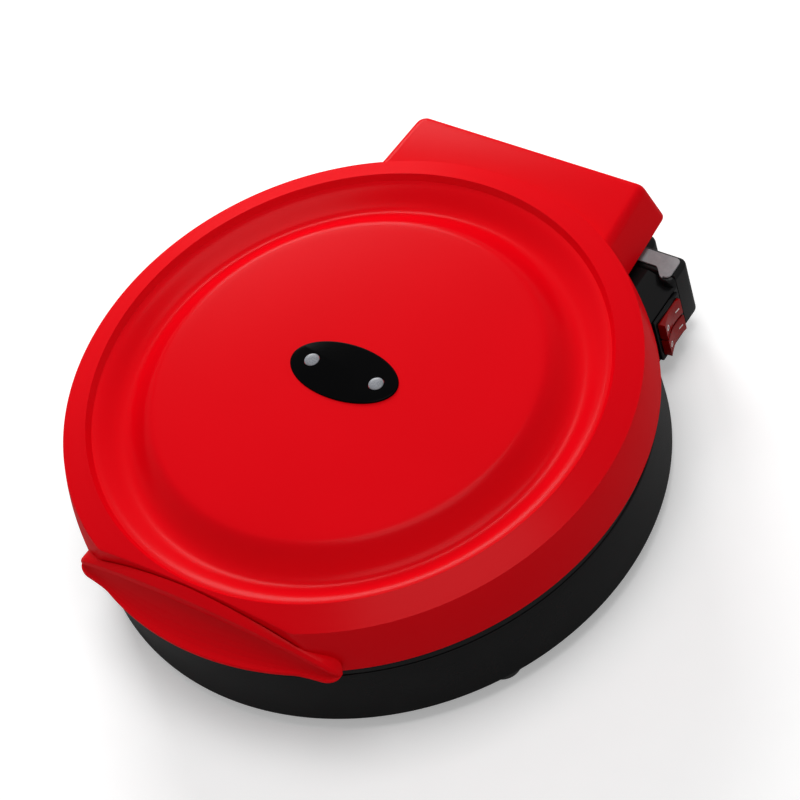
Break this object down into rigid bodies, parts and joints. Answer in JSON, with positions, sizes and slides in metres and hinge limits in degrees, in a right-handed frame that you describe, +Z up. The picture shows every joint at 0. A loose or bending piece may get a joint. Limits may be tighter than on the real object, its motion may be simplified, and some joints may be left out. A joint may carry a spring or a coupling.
{
  "type": "double-sided pancake maker",
  "caption": "Round countertop pancake maker: red domed lid with front handle, black base with heated pans, floating rear hinge and side rocker switches.",
  "frame": {"origin": "on the surface that the feet stand on, under the middle of the whole object's box", "axes": "+Z up, +Y from the handle at the front to the hinge at the rear, +X to the side with the switches"},
  "size_m": [0.32, 0.348, 0.0961],
  "materials": {
    "red_lacquer": "satin gloss",
    "black_plastic": "satin",
    "badge_black": "gloss",
    "grey_pad": "fine grain",
    "lamp_lens": "frosted",
    "lamp_orange": "clear tinted",
    "rocker_red": "translucent gloss",
    "pan_coating": "non-stick coating",
    "zinc_steel": "zinc plated",
    "element_steel": "heat darkened",
    "tinplate": "rolled",
    "ceramic": "matte",
    "white_nylon": "matte",
    "foot_rubber": "matte"
  },
  "bodies": {
    "base": {"base_shell": "black_plastic", "base_rim_ring": "black_plastic", "foot_1": "foot_rubber", "foot_2": "foot_rubber", "foot_3": "foot_rubber", "foot_4": "foot_rubber", "foot_screw_1": "zinc_steel", "foot_screw_2": "zinc_steel", "foot_screw_3": "zinc_steel", "foot_screw_4": "zinc_steel", "pan_screw_1": "zinc_steel", "pan_screw_2": "zinc_steel", "pan_screw_3": "zinc_steel", "lower_pan": "pan_coating", "lower_heating_element": "element_steel", "lower_heat_shield": "tinplate", "lower_thermostat": "ceramic", "lower_thermal_fuse": "ceramic", "terminal_block": "white_nylon", "hinge_housing": "black_plastic", "cord_gland": "foot_rubber", "switch_box": "black_plastic", "switch_box_end_cap": "black_plastic", "switch_box_pad": "grey_pad", "switch_bezel": "black_plastic"},
    "hinge_carriage": {"hinge_leg_left": "zinc_steel", "hinge_leg_right": "zinc_steel", "hinge_pin": "zinc_steel", "pin_clip_left": "zinc_steel", "pin_clip_right": "zinc_steel"},
    "lid": {"lid_shell": "red_lacquer", "lid_handle": "red_lacquer", "lid_inner_ring": "black_plastic", "lid_bracket_left": "zinc_steel", "lid_bracket_right": "zinc_steel", "lid_screw_1": "zinc_steel", "lid_screw_2": "zinc_steel", "badge_plate": "badge_black", "lamp_lens_left": "lamp_lens", "lamp_lens_right": "lamp_lens", "indicator_lamp_left": "lamp_orange", "indicator_lamp_right": "lamp_orange", "upper_pan": "pan_coating", "upper_heating_element": "element_steel", "upper_heat_shield": "tinplate", "upper_thermostat": "ceramic", "upper_thermal_fuse": "ceramic"},
    "rocker_upper_cap": {"rocker_upper": "rocker_red"},
    "rocker_lower_cap": {"rocker_lower": "rocker_red"}
  },
  "joints": [
    {"name": "hinge_float", "type": "slide", "parent": "base", "child": "hinge_carriage", "axis": [0, 0, 1], "range_m": [0, 0.014]},
    {"name": "lid_hinge", "type": "hinge", "parent": "hinge_carriage", "child": "lid", "pos_m": [0, 0.162, 0.062], "axis": [-1, 0, 0], "range_deg": [0, 100]},
    {"name": "rocker_upper_tilt", "type": "hinge", "parent": "base", "child": "rocker_upper_cap", "pos_m": [0.1066, 0.1235, 0.0364], "axis": [0, 0, -1], "range_deg": [0, 14]},
    {"name": "rocker_lower_tilt", "type": "hinge", "parent": "base", "child": "rocker_lower_cap", "pos_m": [0.1066, 0.1235, 0.0228], "axis": [0, 0, -1], "range_deg": [0, 14]}
  ]
}
